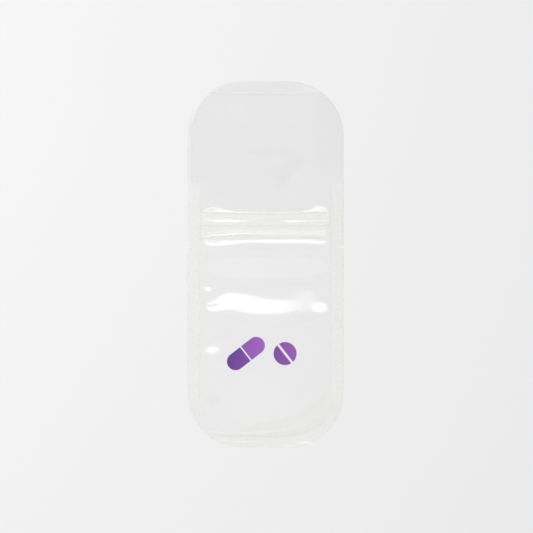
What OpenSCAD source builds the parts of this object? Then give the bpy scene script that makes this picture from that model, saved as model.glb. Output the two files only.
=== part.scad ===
// Clear press-to-close pouch in which tablets are crushed. It lies on its back film:
// +X runs across the pouch, +Y towards its mouth and +Z up through its layers.
// The origin is in the middle of the pouch, on the surface that it lies on.

/* [Film] */
// Width of the pouch across its side welds
pouch_w = 54; // [42:0.5:90]
// Length of the back film, from the bottom weld to the end of the back lip
pouch_l = 126.5; // [112:0.5:200]
// Radius of the pouch's four outer corners
corner_r = 19; // [8:0.5:20]
// Thickness of one layer of film
film_t = 0.15; // [0.1:0.01:0.3]
// Air between the front and the back film where they lie together
layer_gap = 0.3; // [0.2:0.05:0.8]

/* [Welds] */
// Width of each knurled side weld
side_weld_w = 4.3; // [3:0.1:7]
// Width of the clear weld round the bottom
bottom_weld_w = 4; // [3:0.1:7]
// Unwelded length of the back film above the side welds
back_lip_l = 35.5; // [28:0.5:60]
// Depth of each tear notch
notch_depth = 1.4; // [0.8:0.1:2.4]
// Width of each tear notch along the pouch's edge
notch_w = 0.9; // [0.5:0.1:2]
// Distance from the zip down to the tear notches
notch_below_zip = 3.2; // [2:0.1:8]

/* [Zip] */
// Distance from the top of the side welds down to the zip
zip_below_welds = 10.2; // [6:0.1:20]
// Width of the base of each of the two tracks
track_w = 4.1; // [3.6:0.1:6]
// Space between the two tracks
track_gap = 0.15; // [0.1:0.05:1]
// Thickness of the base of each track
base_t = 0.2; // [0.15:0.05:0.4]
// Height of the jaws above their base
jaw_h = 1; // [0.8:0.05:1.6]
// Width across the two jaws of one track
jaw_w = 2.3; // [2:0.1:3]
// Wall thickness of a jaw
jaw_t = 0.35; // [0.25:0.05:0.5]
// Width of the slot between the two hooked tips
jaw_slot = 0.6; // [0.5:0.05:0.8]
// Width of the rib's arrow head, which is wider than the slot
head_w = 0.95; // [0.85:0.05:1.2]
// Thickness of the rib's stem
stem_w = 0.35; // [0.25:0.05:0.45]
// Air between the jaws' tips and the rib's base when the zip is shut
tip_gap = 0.15; // [0.1:0.05:0.4]
// Length of the crushed pad at each end of a track
crush_l = 1.8; // [1:0.1:3]
// Height of the crushed pads above the back film
crush_h = 0.7; // [0.4:0.05:1]

/* [Chamber] */
// Height of the chamber's crown above the surface that the pouch lies on
crown_h = 6; // [5:0.1:12]
// Length over which the front film comes down beside the zip
ramp_l = 3; // [2:0.1:5]
// Length below the zip where the front film lies on the back film
touch_l = 9.5; // [4:0.5:20]
// Length over which the front film rises into the crown
rise_l = 14; // [8:0.5:24]
// Length over which the front film falls to the bottom weld
fall_l = 15; // [8:0.5:24]
// How square the crown is across the pouch
crown_power = 2.5; // [2:0.1:4]

/* [Mouth] */
// How much shorter the front lip is than the back lip
front_lip_short = 3.8; // [0:0.1:8]
// How far the front film's left edge stands in from the back film's
front_lip_inset = 1.4; // [0:0.1:3]
// Distance from the top of the side welds up to the fold of the front lip
fold_above_welds = 12; // [8:0.5:18]

/* [Print] */
// Length of the printed capsule
capsule_l = 15; // [8:0.5:20]
// Width of the printed capsule
capsule_w = 6; // [4:0.5:10]
// Turn of the printed capsule from the X axis, in degrees
capsule_turn = 38; // [0:1:90]
// Diameter of the printed tablet
tablet_d = 8; // [5:0.5:12]
// Width of the score line across the printed tablet
score_w = 0.8; // [0.4:0.1:1.5]
// Distance from the middle of the capsule to the middle of the tablet
print_pitch = 13.5; // [12:0.5:18]
// Thickness of the ink
ink_t = 0.05; // [0.03:0.01:0.1]

/* [Clearances] */
// Space between the front film's edge and the welds
edge_gap = 0.2; // [0.1:0.05:0.5]
// Space between the zip's moving tracks and the crushed pads
end_gap = 0.2; // [0.1:0.05:0.5]
// Space in the fold between the front film and the front lip
fold_gap = 0.1; // [0.05:0.05:0.3]

/* [Hidden] */
$fn = 96;

// Places along the pouch
top_y = pouch_l / 2;
bottom_y = -pouch_l / 2;
weld_top_y = top_y - back_lip_l;
zip_top_y = weld_top_y - zip_below_welds;
zip_w = 2 * track_w + track_gap;
zip_bottom_y = zip_top_y - zip_w;
upper_track_y = zip_top_y - track_w / 2;
lower_track_y = zip_bottom_y + track_w / 2;
notch_y = zip_bottom_y - notch_below_zip;
fold_y = weld_top_y + fold_above_welds;
lip_end_y = top_y - front_lip_short;
chamber_y0 = bottom_y + bottom_weld_w + edge_gap;
rise_top_y = zip_bottom_y - ramp_l - touch_l;
crown_y = (chamber_y0 + fall_l + rise_top_y - rise_l) / 2;

// Places across the pouch
half_w = pouch_w / 2;
chamber_half_w = half_w - side_weld_w;
film_half_w = chamber_half_w - edge_gap;
film_corner_r = max(corner_r - bottom_weld_w - edge_gap, 2);
track_half_l = chamber_half_w - crush_l - end_gap;

// Heights through the layers
flat_z = film_t + layer_gap;
jaw_top_z = film_t + base_t + jaw_h;
rib_base_z = jaw_top_z + tip_gap;
zip_film_z = rib_base_z + base_t;
crush_film_z = film_t + crush_h + edge_gap;
crown_rise = crown_h - film_t - flat_z;

// Smooth step from 0 to 1 as t goes from 0 to 1
function step(t) = let (c = max(0, min(1, t))) c * c * (3 - 2 * c);

// How far the front film is raised over the zip, from 0 to 1
function on_zip(y) =
    step((y - zip_bottom_y + ramp_l) / ramp_l) * step((zip_top_y + ramp_l - y) / ramp_l);

// Height of the front film over the zip, which is lower over the crushed pads
function zip_z(x) =
    crush_film_z + (zip_film_z - crush_film_z) * step((film_half_w - abs(x)) / crush_l);

// Half width of the front film, with the rounded bottom of the chamber
function film_half(y) =
    let (up = min(y - chamber_y0, film_corner_r), r = film_corner_r)
    film_half_w - r + sqrt(max(0, r * r - (r - up) * (r - up)));

// Height of the underside of the front film over its welded part
function film_z(x, y) =
    let (
        across = 1 - pow(min(1, abs(x) / film_half(y)), crown_power),
        along = step((rise_top_y - y) / rise_l) * step((y - chamber_y0) / fall_l)
    )
    flat_z + crown_rise * across * along + (zip_z(x) - flat_z) * on_zip(y);

// Outline of the back film
module outline() {
    square([pouch_w, pouch_l - 2 * corner_r], center = true);
    square([pouch_w - 2 * corner_r, pouch_l], center = true);
    for (x = [-1, 1], y = [-1, 1])
        translate([x * (half_w - corner_r), y * (pouch_l / 2 - corner_r)])
            circle(corner_r);
}

// Rounded tear notches, one in each long edge
module notches() {
    for (side = [-1, 1])
        translate([side * (half_w - notch_depth + notch_w / 2), notch_y]) {
            circle(d = notch_w);
            translate([side * notch_depth / 2, 0])
                square([notch_depth, notch_w], center = true);
        }
}

// Everything at or below a height along the pouch
module below(y) {
    translate([-pouch_w, y - 2 * pouch_l])
        square([2 * pouch_w, 2 * pouch_l]);
}

// Inside of the welds, where the two films stay apart
module chamber_outline() {
    r = film_corner_r + edge_gap;
    y0 = chamber_y0 - edge_gap;
    translate([-chamber_half_w, y0 + r])
        square([2 * chamber_half_w, pouch_l]);
    translate([-chamber_half_w + r, y0])
        square([2 * (chamber_half_w - r), r + 1]);
    for (side = [-1, 1])
        translate([side * (chamber_half_w - r), y0 + r])
            circle(r);
}

// A straight piece along X from a profile whose points are [y, z]
module along_x(half_length) {
    rotate([90, 0, 90])
        linear_extrude(height = 2 * half_length, center = true)
            children();
}

// One knurled side weld: side is -1 on the left and 1 on the right
module side_weld(side) {
    translate([0, 0, film_t])
        linear_extrude(height = film_t)
            intersection() {
                difference() {
                    outline();
                    notches();
                }
                below(weld_top_y);
                translate([side * (half_w - side_weld_w / 2), 0])
                    square([side_weld_w, 2 * pouch_l], center = true);
            }
}

// Hooked jaws of one track on their base, open upwards
module jaws() {
    hook_z = base_t + jaw_h - jaw_t;
    right = [
        [jaw_w / 2 - jaw_t, base_t],
        [jaw_w / 2 - jaw_t, hook_z],
        [jaw_slot / 2, hook_z],
        [jaw_slot / 2, base_t + jaw_h],
        [jaw_w / 2 - jaw_t, base_t + jaw_h],
        [jaw_w / 2, hook_z],
        [jaw_w / 2, base_t],
        [track_w / 2, base_t],
        [track_w / 2, 0]
    ];
    left = [for (i = [len(right) - 1 : -1 : 0]) [-right[i][0], right[i][1]]];
    along_x(track_half_l)
        translate([0, film_t])
            polygon(concat(right, left));
}

// Rib of one track under its base, with an arrow head that the jaws hold
module rib() {
    head_z = film_t + base_t + 0.15;
    barb_z = jaw_top_z - jaw_t - 0.1;
    along_x(track_half_l)
        polygon([
            [-track_w / 2, rib_base_z],
            [-stem_w / 2, rib_base_z],
            [-stem_w / 2, barb_z],
            [-head_w / 2, barb_z],
            [-stem_w / 2, head_z],
            [stem_w / 2, head_z],
            [head_w / 2, barb_z],
            [stem_w / 2, barb_z],
            [stem_w / 2, rib_base_z],
            [track_w / 2, rib_base_z],
            [track_w / 2, rib_base_z + base_t],
            [-track_w / 2, rib_base_z + base_t]
        ]);
}

// Crushed, flattened ends of both tracks on one side
module zip_crush(side) {
    for (y = [upper_track_y, lower_track_y])
        translate([side * (chamber_half_w - crush_l / 2), y, film_t + crush_h / 2])
            cube([crush_l, track_w, crush_h], center = true);
}

// A closed sheet between two faces, each a list of rows of points that run towards +Y,
// with every row running towards +X
module sheet(lower, upper) {
    rows = len(lower);
    cols = len(lower[0]);
    points = [for (face = [lower, upper]) for (row = face) for (p = row) p];
    top = rows * cols;
    edge = concat(
        [for (j = [0 : cols - 1]) j],
        [for (i = [1 : rows - 1]) i * cols + cols - 1],
        [for (j = [cols - 2 : -1 : 0]) (rows - 1) * cols + j],
        [for (i = [rows - 2 : -1 : 1]) i * cols]
    );
    faces = concat(
        [for (i = [0 : rows - 2], j = [0 : cols - 2])
            let (a = i * cols + j, b = a + cols)
            each [[a, a + 1, b + 1], [a, b + 1, b]]],
        [for (i = [0 : rows - 2], j = [0 : cols - 2])
            let (a = top + i * cols + j, b = a + cols)
            each [[a, b + 1, a + 1], [a, b, b + 1]]],
        [for (k = [0 : len(edge) - 1])
            let (a = edge[k], b = edge[(k + 1) % len(edge)])
            each [[a, top + a, top + b], [a, top + b, b]]]
    );
    polyhedron(points, faces);
}

// Heights along the pouch at which the front film is worked out
front_rows = concat(
    [for (a = [0 : 15 : 75]) chamber_y0 + film_corner_r * (1 - cos(a))],
    let (y0 = chamber_y0 + film_corner_r, y1 = rise_top_y - rise_l)
        [for (t = [0 : 0.25 : 0.99]) y0 + (y1 - y0) * t],
    [for (t = [0 : 1 / 6 : 0.99]) rise_top_y + rise_l * (t - 1)],
    [rise_top_y, zip_bottom_y - ramp_l, zip_bottom_y - ramp_l / 2],
    [zip_bottom_y, zip_top_y, zip_top_y + ramp_l / 2, zip_top_y + ramp_l],
    [weld_top_y]
);

// The columns of the front film, as shares of its half width: one is at the tracks' ends
track_share = 1 - crush_l / film_half_w;
half_columns = concat(
    [for (t = [0, 0.2, 0.4, 0.6, 0.78, 0.9, 1]) t * track_share],
    [(1 + track_share) / 2, 1]
);
front_columns = concat([for (i = [8 : -1 : 1]) -half_columns[i]], half_columns);

module back_film() {
    color([0.9, 0.92, 0.92, 0.5])
        linear_extrude(height = film_t)
            difference() {
                outline();
                notches();
            }
}

module left_side_weld() {
    color([0.86, 0.85, 0.78])
        side_weld(-1);
}

module right_side_weld() {
    color([0.86, 0.85, 0.78])
        side_weld(1);
}

module bottom_weld() {
    color([0.84, 0.83, 0.78])
        translate([0, 0, film_t])
            linear_extrude(height = film_t)
                intersection() {
                    difference() {
                        outline();
                        chamber_outline();
                    }
                    below(0);
                    square([2 * chamber_half_w, 2 * pouch_l], center = true);
                }
}

module upper_zip_jaws() {
    color([0.82, 0.8, 0.7])
        translate([0, upper_track_y, 0])
            jaws();
}

module lower_zip_jaws() {
    color([0.82, 0.8, 0.7])
        translate([0, lower_track_y, 0])
            jaws();
}

module left_zip_crush() {
    color([0.8, 0.79, 0.7])
        zip_crush(-1);
}

module right_zip_crush() {
    color([0.8, 0.79, 0.7])
        zip_crush(1);
}

// The welded part of the front film is one sheet with its free part, which is wider
module front_film() {
    wide_y = weld_top_y + edge_gap;
    rows = concat(front_rows, [wide_y, fold_y - fold_gap / 2]);
    function edge_x(s, y) =
        y < wide_y
            ? s * film_half(y)
            : (s < 0 ? s * (half_w - front_lip_inset) : s * half_w);
    lower = [for (y = rows) [for (s = front_columns)
        let (x = edge_x(s, y)) [x, y, y < wide_y ? film_z(x, y) : flat_z]]];
    upper = [for (row = lower) [for (p = row) p + [0, 0, film_t]]];
    color([0.92, 0.94, 0.94, 0.5])
        sheet(lower, upper);
}

module upper_zip_rib() {
    color([0.88, 0.86, 0.76])
        translate([0, upper_track_y, 0])
            rib();
}

module lower_zip_rib() {
    color([0.88, 0.86, 0.76])
        translate([0, lower_track_y, 0])
            rib();
}

// Lanes into which the ink is cut, as shares of its half width
lanes = [-1 : 0.25 : 1];

// A patch of ink that follows the front film. The rows are cuts across the patch, given
// as [distance along it, half width], and the patch is turned about its middle.
module ink(middle, turn, cuts, lanes) {
    c = cos(turn);
    s = sin(turn);
    function place(u, v) =
        let (x = middle[0] + u * c - v * s, y = middle[1] + u * s + v * c)
        [x, y, film_z(x, y) + film_t / 2];
    lower = [for (v = lanes) [for (cut = cuts) place(cut[0], v * cut[1])]];
    upper = [for (row = lower) [for (p = row) p + [0, 0, film_t / 2 + ink_t]]];
    sheet(lower, upper);
}

module capsule_print() {
    r = capsule_w / 2;
    straight = capsule_l / 2 - r;
    cap = [for (a = [0 : 15 : 90]) [straight + r * cos(a), max(r * sin(a), 0.15)]];
    body = [for (t = [-0.75 : 0.25 : 0.75]) [t * straight, r]];
    right = [for (i = [len(cap) - 1 : -1 : 0]) cap[i]];
    left = [for (p = cap) [-p[0], p[1]]];
    color([0.42, 0.2, 0.6])
        ink([-print_pitch / 2, crown_y], capsule_turn, concat(left, body, right), lanes);
}

module tablet_print() {
    r = tablet_d / 2;
    color([0.5, 0.25, 0.66])
        for (half = [-1, 1])
            ink(
                [print_pitch / 2, crown_y],
                capsule_turn + 90 + half * 90,
                [for (a = [90 : -15 : 15])
                    let (u = max(r * cos(a), score_w / 2)) [u, sqrt(r * r - u * u)]],
                lanes
            );
}

module front_lip() {
    color([0.92, 0.94, 0.94, 0.5])
        translate([0, 0, flat_z])
            linear_extrude(height = film_t)
                intersection() {
                    outline();
                    translate([front_lip_inset, 0])
                        outline();
                    difference() {
                        below(lip_end_y);
                        below(fold_y + fold_gap / 2);
                    }
                }
}

back_film();
left_side_weld();
right_side_weld();
bottom_weld();
upper_zip_jaws();
lower_zip_jaws();
left_zip_crush();
right_zip_crush();
front_film();
upper_zip_rib();
lower_zip_rib();
capsule_print();
tablet_print();
front_lip();
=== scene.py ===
import math

import bpy
import numpy as np
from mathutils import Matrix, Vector


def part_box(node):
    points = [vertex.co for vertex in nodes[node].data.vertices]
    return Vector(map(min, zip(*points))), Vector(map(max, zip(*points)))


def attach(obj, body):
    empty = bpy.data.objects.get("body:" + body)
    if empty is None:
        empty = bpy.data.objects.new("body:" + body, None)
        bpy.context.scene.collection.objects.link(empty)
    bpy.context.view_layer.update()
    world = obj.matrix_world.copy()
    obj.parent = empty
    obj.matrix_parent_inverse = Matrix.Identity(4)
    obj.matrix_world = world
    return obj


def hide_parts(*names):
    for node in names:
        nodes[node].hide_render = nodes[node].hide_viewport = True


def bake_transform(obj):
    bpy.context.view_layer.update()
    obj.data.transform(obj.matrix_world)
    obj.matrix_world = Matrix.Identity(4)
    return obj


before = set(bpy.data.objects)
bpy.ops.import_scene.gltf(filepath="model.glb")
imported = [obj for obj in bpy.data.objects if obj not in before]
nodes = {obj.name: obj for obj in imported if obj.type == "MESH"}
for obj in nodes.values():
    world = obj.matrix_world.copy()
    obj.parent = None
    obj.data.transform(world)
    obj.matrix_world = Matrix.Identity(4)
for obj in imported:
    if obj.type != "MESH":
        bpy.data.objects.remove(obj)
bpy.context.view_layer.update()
print("frame loaded")

mm = 0.001
scene = bpy.context.scene


def boxMm(node):
    # a node's lowest and highest corners, in millimetres
    low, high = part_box(node)
    return np.array(low) / mm, np.array(high) / mm


backHigh = boxMm("back_film")[1]
weldHigh = boxMm("left_side_weld")[1]
lipLow, lipHigh = boxMm("front_lip")
upperLow, upperHigh = boxMm("upper_zip_rib")
lowerLow, lowerHigh = boxMm("lower_zip_rib")
halfW = backHigh[0]
endY = backHigh[1]
filmT = backHigh[2]
innerX = -weldHigh[0]          # inner edge of the side welds
weldTopY = weldHigh[1]
foldY = lipLow[1]
zipBottomY = lowerLow[1]
zipZ = upperHigh[2]            # underside of the front film over the zip
restZ = lipLow[2]              # underside of the front film where it lies flat
meltRise = 0.05                # how far melted film stands above its two layers
weldZ = 2 * filmT + meltRise   # top of the melted welds
cornerR = 19.0                 # radius of the pouch's round corners
lipInset = 1.4                 # how far the front film's left edge stands in
levelStep = 0.005              # smallest step in shade that an eye sees through a film
rimWidth = 0.35                # how far in from a film's cut edge its tone reaches


def smooth(t):
    # 0 below 0, 1 above 1, and 3t^2 - 2t^3 between
    t = np.clip(t, 0, 1)
    return t * t * (3 - 2 * t)


def bell(t):
    # exp(-t^2)
    return np.exp(-t * t)


def curve(x, knots):
    # a smooth line through (x, value) knots: cubic pieces whose slopes are the mean of the
    # chords on both sides, level at the ends
    k = np.array(knots, float)
    kx, kv = k[:, 0], k[:, 1]
    slope = np.zeros(len(k))
    slope[1:-1] = (kv[2:] - kv[:-2]) / (kx[2:] - kx[:-2])
    i = np.clip(np.searchsorted(kx, x) - 1, 0, len(k) - 2)
    span = kx[i + 1] - kx[i]
    t = np.clip((x - kx[i]) / span, 0, 1)
    a, b = kv[i], kv[i + 1]
    ma, mb = slope[i] * span, slope[i + 1] * span
    return (
        (2 * t**3 - 3 * t**2 + 1) * a + (t**3 - 2 * t**2 + t) * ma
        + (-2 * t**3 + 3 * t**2) * b + (t**3 - t**2) * mb
    )


def fadeAlong(run, fade):
    # 0 up to the first place, 1 between the second and the third, 0 past the fourth
    comesIn = smooth((run - fade[0]) / (fade[1] - fade[0]))
    return comesIn * smooth((fade[3] - run) / (fade[3] - fade[2]))


def shapeMask(xx, yy, shape):
    # 1 inside a shape and 0 outside, with a soft edge. A shape is a band between an upper
    # and a lower line across the pouch, a line with a half width that runs along or down
    # the pouch, or an oval spot; fade gives where a band or line comes in and goes out
    soft = shape.get("soft", 0.3)
    if "spot" in shape:
        x, y, rx, ry = shape["spot"]
        far = np.hypot((xx - x) / rx, (yy - y) / ry)
        return smooth((1 - far) * min(rx, ry) / soft + 0.5)
    run, across = (yy, xx) if "down" in shape else (xx, yy)
    if "upper" in shape:
        up, low = curve(run, shape["upper"]), curve(run, shape["lower"])
    else:
        line = curve(run, shape.get("along", shape.get("down")))
        up, low = line + shape["half"], line - shape["half"]
    up, low = up + shape.get("grow", 0), low - shape.get("grow", 0)
    edges = smooth((across - low) / soft + 0.5) * smooth((up - across) / soft + 0.5)
    return edges * fadeAlong(run, shape["fade"])


def tone(xx, yy, shapes, step=levelStep):
    # the sum of the shapes' masks, each times its levels, times a step
    total = 0.0 * xx
    for shape in shapes:
        total = total + shape["levels"] * shapeMask(xx, yy, shape)
    return total * step


def outlineHalf(y, inset=0.0):
    # half the pouch's width at y: a straight side that turns in on a quarter circle at
    # each end, moved in by inset all round
    half, r = halfW - inset, cornerR - inset
    end = endY - inset
    d = np.clip(np.abs(y) - (end - r), 0, r)
    return half - r + np.sqrt(np.maximum(r * r - d * d, 0))


def outlineEnd(x):
    # the pouch's lower end at x: level in the middle, a quarter circle at each side
    d = np.clip(np.abs(x) - (halfW - cornerR), 0, cornerR)
    return -(endY - cornerR) - np.sqrt(cornerR**2 - d * d)


def rimDistance(xx, yy):
    # how far inside the pouch's outline a point is
    cx = np.abs(xx) - (halfW - cornerR)
    cy = np.abs(yy) - (endY - cornerR)
    corner = cornerR - np.hypot(np.maximum(cx, 0), np.maximum(cy, 0))
    return np.where((cx > 0) & (cy > 0), corner, np.minimum(halfW - np.abs(xx), endY - np.abs(yy)))


def spread(*parts):
    # one rising list of places from (start, end, step) stretches
    out = [np.append(np.arange(a, b - s / 2, s), b) for a, b, s in parts]
    return np.unique(np.round(np.concatenate(out), 4))


def addMesh(name, co, quads, attributes, layers):
    # points in millimetres and four corners for each face; an attribute is given for one
    # layer of points and repeated for the others
    mesh = bpy.data.meshes.new(name)
    mesh.vertices.add(len(co))
    mesh.vertices.foreach_set("co", (co * mm).astype(np.float32).ravel())
    mesh.loops.add(quads.size)
    mesh.loops.foreach_set("vertex_index", quads.ravel().astype(np.int32))
    mesh.polygons.add(len(quads))
    mesh.polygons.foreach_set("loop_start", np.arange(0, quads.size, 4, dtype=np.int32))
    mesh.polygons.foreach_set("use_smooth", np.ones(len(quads), bool))
    mesh.update(calc_edges=True)
    mesh.validate()
    mesh.set_sharp_from_angle(angle=math.radians(50))
    for key, values in (attributes or {}).items():
        layer = mesh.attributes.new(key, "FLOAT", "POINT")
        layer.data.foreach_set("value", np.tile(np.asarray(values, np.float32).ravel(), layers))
    obj = bpy.data.objects.new(name, mesh)
    scene.collection.objects.link(obj)
    return obj


def gridQuads(index):
    # the quads of a grid of point numbers, facing up where x grows along each row and y
    # grows from row to row
    a, b = index[:-1, :-1].ravel(), index[:-1, 1:].ravel()
    c, d = index[1:, 1:].ravel(), index[1:, :-1].ravel()
    return np.stack([a, b, c, d], -1)


def slabMesh(name, xx, yy, zz, thickness, attributes=None):
    # a film of even thickness: the grid (xx, yy, zz) is its upper face, the same grid
    # moved down is its lower one, and four strips close its rim
    rows, cols = xx.shape
    upper = np.arange(rows * cols).reshape(rows, cols)
    lower = upper + rows * cols
    rims = [(lower[0], upper[0]), (upper[-1], lower[-1]), (upper[:, 0], lower[:, 0]),
            (lower[:, -1], upper[:, -1])]
    faces = [gridQuads(upper), gridQuads(lower)[:, ::-1]]
    faces += [gridQuads(np.stack(pair)) for pair in rims]
    top = np.stack([xx, yy, zz], -1).reshape(-1, 3)
    co = np.vstack([top, top - [0, 0, thickness]])
    return addMesh(name, co, np.vstack(faces), attributes, 2)


def tubeMesh(name, xx, yy, zz, attributes=None):
    # a closed section in each column: its last row joins its first, and a strip of thin
    # quads between its two halves caps the first and the last column
    rows, cols = xx.shape
    index = np.arange(rows * cols).reshape(rows, cols)
    half = rows // 2
    near, far = index[:, 0], index[:, -1]
    caps = [np.stack([near[:half], near[::-1][:half]]),
            np.stack([far[::-1][:half], far[:half]])]
    faces = [gridQuads(np.vstack([index, index[:1]]))] + [gridQuads(cap) for cap in caps]
    return addMesh(name, np.stack([xx, yy, zz], -1).reshape(-1, 3), np.vstack(faces), attributes, 1)


def coat(obj, material):
    # clear film leaves the floor beneath it as bright as the floor beside it
    obj.data.materials.append(material)
    obj.visible_shadow = False
    obj.visible_diffuse = False


# The front film's shape. A glint is a short bank in the film, steep enough to mirror one of
# the two long lamps: slope -1 faces the top lamp and slope 1 the foot lamp.
film = {
    "bankSlope": 0.355,        # rise over run of a bank that mirrors a lamp
    "sidePower": 2.4,          # how square the crown is across the pouch
    "gridX": 0.2, "gridY": 0.1,
    "lap": 0.12,               # how far the film runs onto the side welds
    # painted shade lines where the film meets the bottom weld and along its left edge
    "endShade": 0.02, "leftShade": 0.012,
    "crown": [(-59.1, 0.0), (-56, 0.25), (-50, 1.15), (-44, 2.25), (-38, 3.3), (-32, 4.05),
              (-27, 4.35), (-22, 4.1), (-18, 3.4), (-14, 2.4), (-10, 1.4), (-6, 0.6), (-2, 0.15),
              (2, 0.0), (70, 0.0)],
    "overZip": [(-60, 0.0), (1.4, 0.0), (3.0, 0.12), (8.6, 0.95), (9.4, 1.0), (17.4, 1.0),
                (18.2, 0.95), (24.0, 0.1), (26.0, 0.0), (70, 0.0)],
}

# the chamber's lower end, where the front film meets the bottom weld
chamberEnd = [(-25, -52.4), (-22.8, -55.3), (-20.5, -58.0), (-16, -58.9), (-8, -59.1),
              (0, -59.4), (6, -59.4), (10, -58.9), (14, -57.9), (17, -56.8), (20, -54.8),
              (22, -52), (22.9, -49.4), (25, -44)]

# the broad glint, where the film rises into the crown
broadGlint = {
    "slope": -1, "reach": 9, "soft": 1.9, "fade": (-21.3, -20.0, 5.0, 15.5),
    "upper": [(-21.2, -14.3), (-20.4, -13.7), (-17.5, -12.5), (-14.6, -10.3), (-11.1, -9.8),
              (-5.2, -10.7), (-0.7, -11.8), (4, -12.2), (10, -12.2), (18, -11.0)],
    "lower": [(-21.2, -14.4), (-20.2, -15.3), (-16.5, -15.8), (-12.6, -15.4), (-7.6, -16.4),
              (-2.7, -17.0), (4, -16.9), (12, -16.1), (18, -15.5)],
}

glints = [
    # over the chamber: a gentler skirt round the broad one, and the small dents near it
    {**broadGlint, "slope": -0.79, "soft": 2.4, "grow": 1.0},
    {"slope": -0.78, "reach": 6, "soft": 3.2, "spot": (13.4, -12.6, 6.2, 4.8)},
    broadGlint,
    {"slope": -0.5, "reach": 4, "soft": 0.8, "half": 0.35, "fade": (-20.4, -19.4, -17.0, -15.2),
     "along": [(-20.4, -14.2), (-18, -14.15), (-15, -13.4)]},
    {"slope": -1, "reach": 5, "soft": 1.5, "spot": (18.9, -14.8, 3.0, 2.1)},
    {"slope": -1, "reach": 7, "soft": 4.5, "spot": (-18.2, -29.4, 4.5, 2.5)},
    {"slope": -1, "reach": 2, "soft": 0.6, "spot": (-19.9, -8.45, 1.7, 0.95)},
    {"slope": -1, "reach": 2, "soft": 0.3, "spot": (-22.0, -7.4, 0.6, 0.7)},
    # below the zip
    {"slope": 1, "reach": 2.6, "soft": 0.3, "fade": (-21.9, -20.8, 22.0, 22.7),
     "upper": [(-21.8, 8.3), (-20, 8.45), (-10, 8.45), (-6, 8.6), (0, 8.75), (23, 8.7)],
     "lower": [(-21.8, 8.1), (-20.8, 7.2), (-19, 6.6), (-17.5, 6.4), (-15, 6.5), (-12, 6.9),
               (-9, 7.3), (-6, 7.5), (0, 7.5), (14, 7.3), (18, 7.1), (20, 7.3), (21.3, 7.9),
               (22.2, 8.4), (23, 8.6)]},
    {"slope": 0.55, "reach": 1.5, "soft": 0.3, "half": 0.22, "fade": (-20.6, -19.6, -16.5, -14.0),
     "along": [(-20.6, 7.95), (-18, 7.85), (-14, 8.05)]},
    {"slope": 0.4, "reach": 1.5, "soft": 0.25, "half": 0.2, "fade": (16.5, 18.0, 20.8, 21.8),
     "along": [(16.5, 8.35), (22, 8.45)]},
    # above the zip, on the left and on the right
    {"slope": -1, "reach": 2.6, "soft": 0.3, "fade": (-21.8, -21.3, -3.0, 1.0),
     "upper": [(-21.8, 18.6), (-20, 19.5), (-18.5, 19.9), (-17.5, 19.9), (-15, 19.3),
               (-12.5, 18.7), (-10, 18.35), (-7, 18.15), (-2, 18.05), (2, 18.0)],
     "lower": [(-21.8, 18.5), (-20, 18.3), (-18, 18.2), (-15, 17.95), (-12, 17.95), (2, 17.85)]},
    {"slope": -1, "reach": 2.6, "soft": 0.3, "fade": (6.6, 9.6, 22.0, 23.0),
     "upper": [(6, 17.75), (9, 18.1), (12, 18.25), (15, 18.9), (17, 20.2), (18.5, 20.35),
               (20, 20.0), (21, 19.2), (22, 18.2), (23, 17.7)],
     "lower": [(6, 17.55), (9, 17.75), (12, 17.9), (15, 18.1), (18, 18.3), (21, 18.1),
               (23, 17.6)]},
    {"slope": -0.3, "reach": 1.5, "soft": 0.25, "half": 0.2, "fade": (-20.9, -20.2, -17.4, -16.4),
     "along": [(-21, 18.75), (-18.5, 18.95), (-16.4, 18.8)]},
    {"slope": -0.3, "reach": 1.5, "soft": 0.25, "half": 0.18, "fade": (19.3, 20.0, 21.6, 22.2),
     "along": [(19.3, 18.9), (22.2, 18.25)]},
    {"slope": -1, "reach": 1.5, "soft": 0.2, "half": 0.2, "fade": (-15, -9, 7, 10),
     "along": [(-15, 18.05), (0, 17.9), (10, 17.85)]},
    # on the zip's upper track
    {"slope": -1, "reach": 1.2, "soft": 0.4, "fade": (-21.8, -21.2, -5, -3),
     "upper": [(-21.6, 15.3), (-17, 15.6), (-9, 15.5), (-3, 15.15)],
     "lower": [(-21.6, 14.95), (-17, 14.65), (-9, 14.75), (-3, 15.0)]},
    {"slope": -1, "reach": 1.2, "soft": 0.25, "half": 0.2, "fade": (-21.6, -20.8, -18.2, -16.6),
     "along": [(-21.4, 15.85), (-19, 15.9), (-16.6, 15.5)]},
    {"slope": -1, "reach": 1.2, "soft": 0.4, "fade": (4.5, 5.5, 22.0, 22.6),
     "upper": [(4.5, 15.1), (8, 15.4), (13, 15.35), (18, 15.25), (22.4, 15.4)],
     "lower": [(4.5, 14.95), (8, 14.65), (13, 14.75), (18, 14.85), (22.4, 14.95)]},
    # on its lower track
    {"slope": 1, "reach": 1.2, "soft": 0.3, "half": 0.27, "fade": (-22.2, -21.2, -6.0, 0.0),
     "along": [(-21.8, 9.6), (-20, 9.75), (-18.5, 10.1), (-16, 10.2), (-13, 10.35), (-10, 10.75),
               (-6, 10.7), (0, 10.5)]},
    {"slope": 1, "reach": 1.2, "soft": 0.25, "half": 0.2, "fade": (18.0, 19.2, 21.6, 22.4),
     "along": [(18, 10.15), (20, 10.0), (22, 9.6)]},
    {"slope": 1, "reach": 0.8, "soft": 0.25, "spot": (-0.5, 10.75, 0.6, 0.35)},
]


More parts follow.
